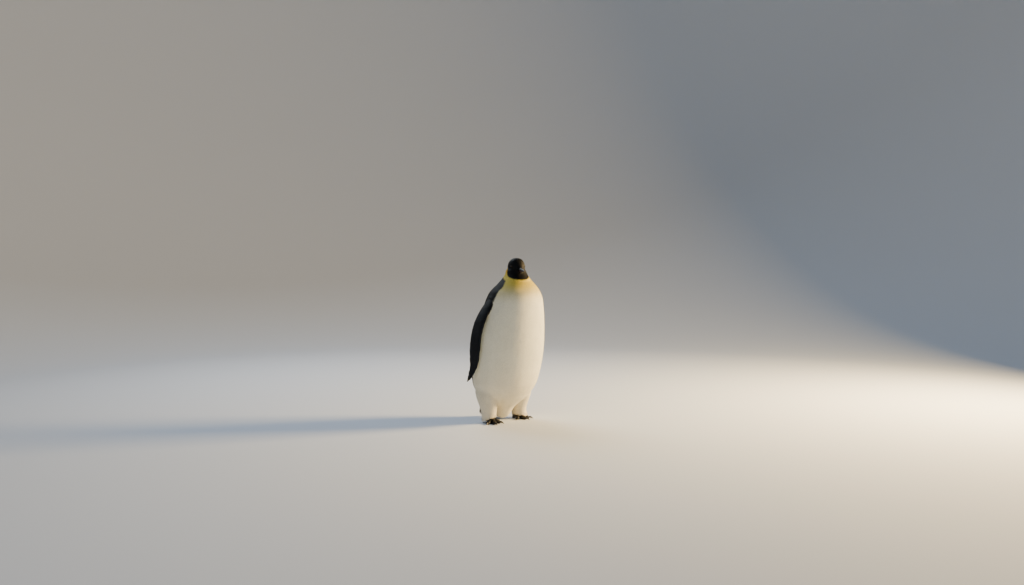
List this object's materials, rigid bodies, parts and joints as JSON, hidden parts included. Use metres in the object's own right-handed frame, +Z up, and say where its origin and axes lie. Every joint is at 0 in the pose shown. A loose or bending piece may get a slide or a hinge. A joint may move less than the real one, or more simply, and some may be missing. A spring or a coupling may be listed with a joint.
{
  "type": "emperor penguin",
  "caption": "Life-size still model of an adult emperor penguin, standing upright with its neck drawn in and its head turned a little to its right.",
  "frame": {"origin": "middle of the base of the bounding box, on the floor that the soles and the tail's tip stand on", "axes": "+Z up from the floor to the crown; -Y ahead, the way the breast faces; +X to the bird's left"},
  "size_m": [0.517, 0.443, 0.9773],
  "materials": {
    "hood": "satin black plumage of the head, chin and nape",
    "breast": "soft white plumage with a pale yellow wash",
    "body": "dense soft plumage, white in front and blue-grey behind",
    "tail": "stiff dark quills, satin",
    "bill": "smooth black horn, semi-gloss",
    "plate": "smooth coral-pink horn, semi-gloss",
    "claw": "dark horn, satin",
    "eye": "wet dark brown, glossy",
    "flipper": "tight scale-like plumage, blue-black outside and white inside",
    "down": "short soft white plumage",
    "foot": "black scaly skin, satin"
  },
  "bodies": {
    "root": {"head": "hood", "neck": "breast", "trunk": "body", "tail": "tail", "bill_upper": "bill", "bill_lower": "bill", "claw_right_inner": "claw", "claw_right_middle": "claw", "claw_right_outer": "claw", "claw_right_hind": "claw", "eye_right": "eye", "bill_plate_right": "plate", "flipper_right": "flipper", "leg_right": "down", "foot_right": "foot", "claw_left_inner": "claw", "claw_left_middle": "claw", "claw_left_outer": "claw", "claw_left_hind": "claw", "eye_left": "eye", "bill_plate_left": "plate", "flipper_left": "flipper", "leg_left": "down", "foot_left": "foot"}
  },
  "joints": []
}
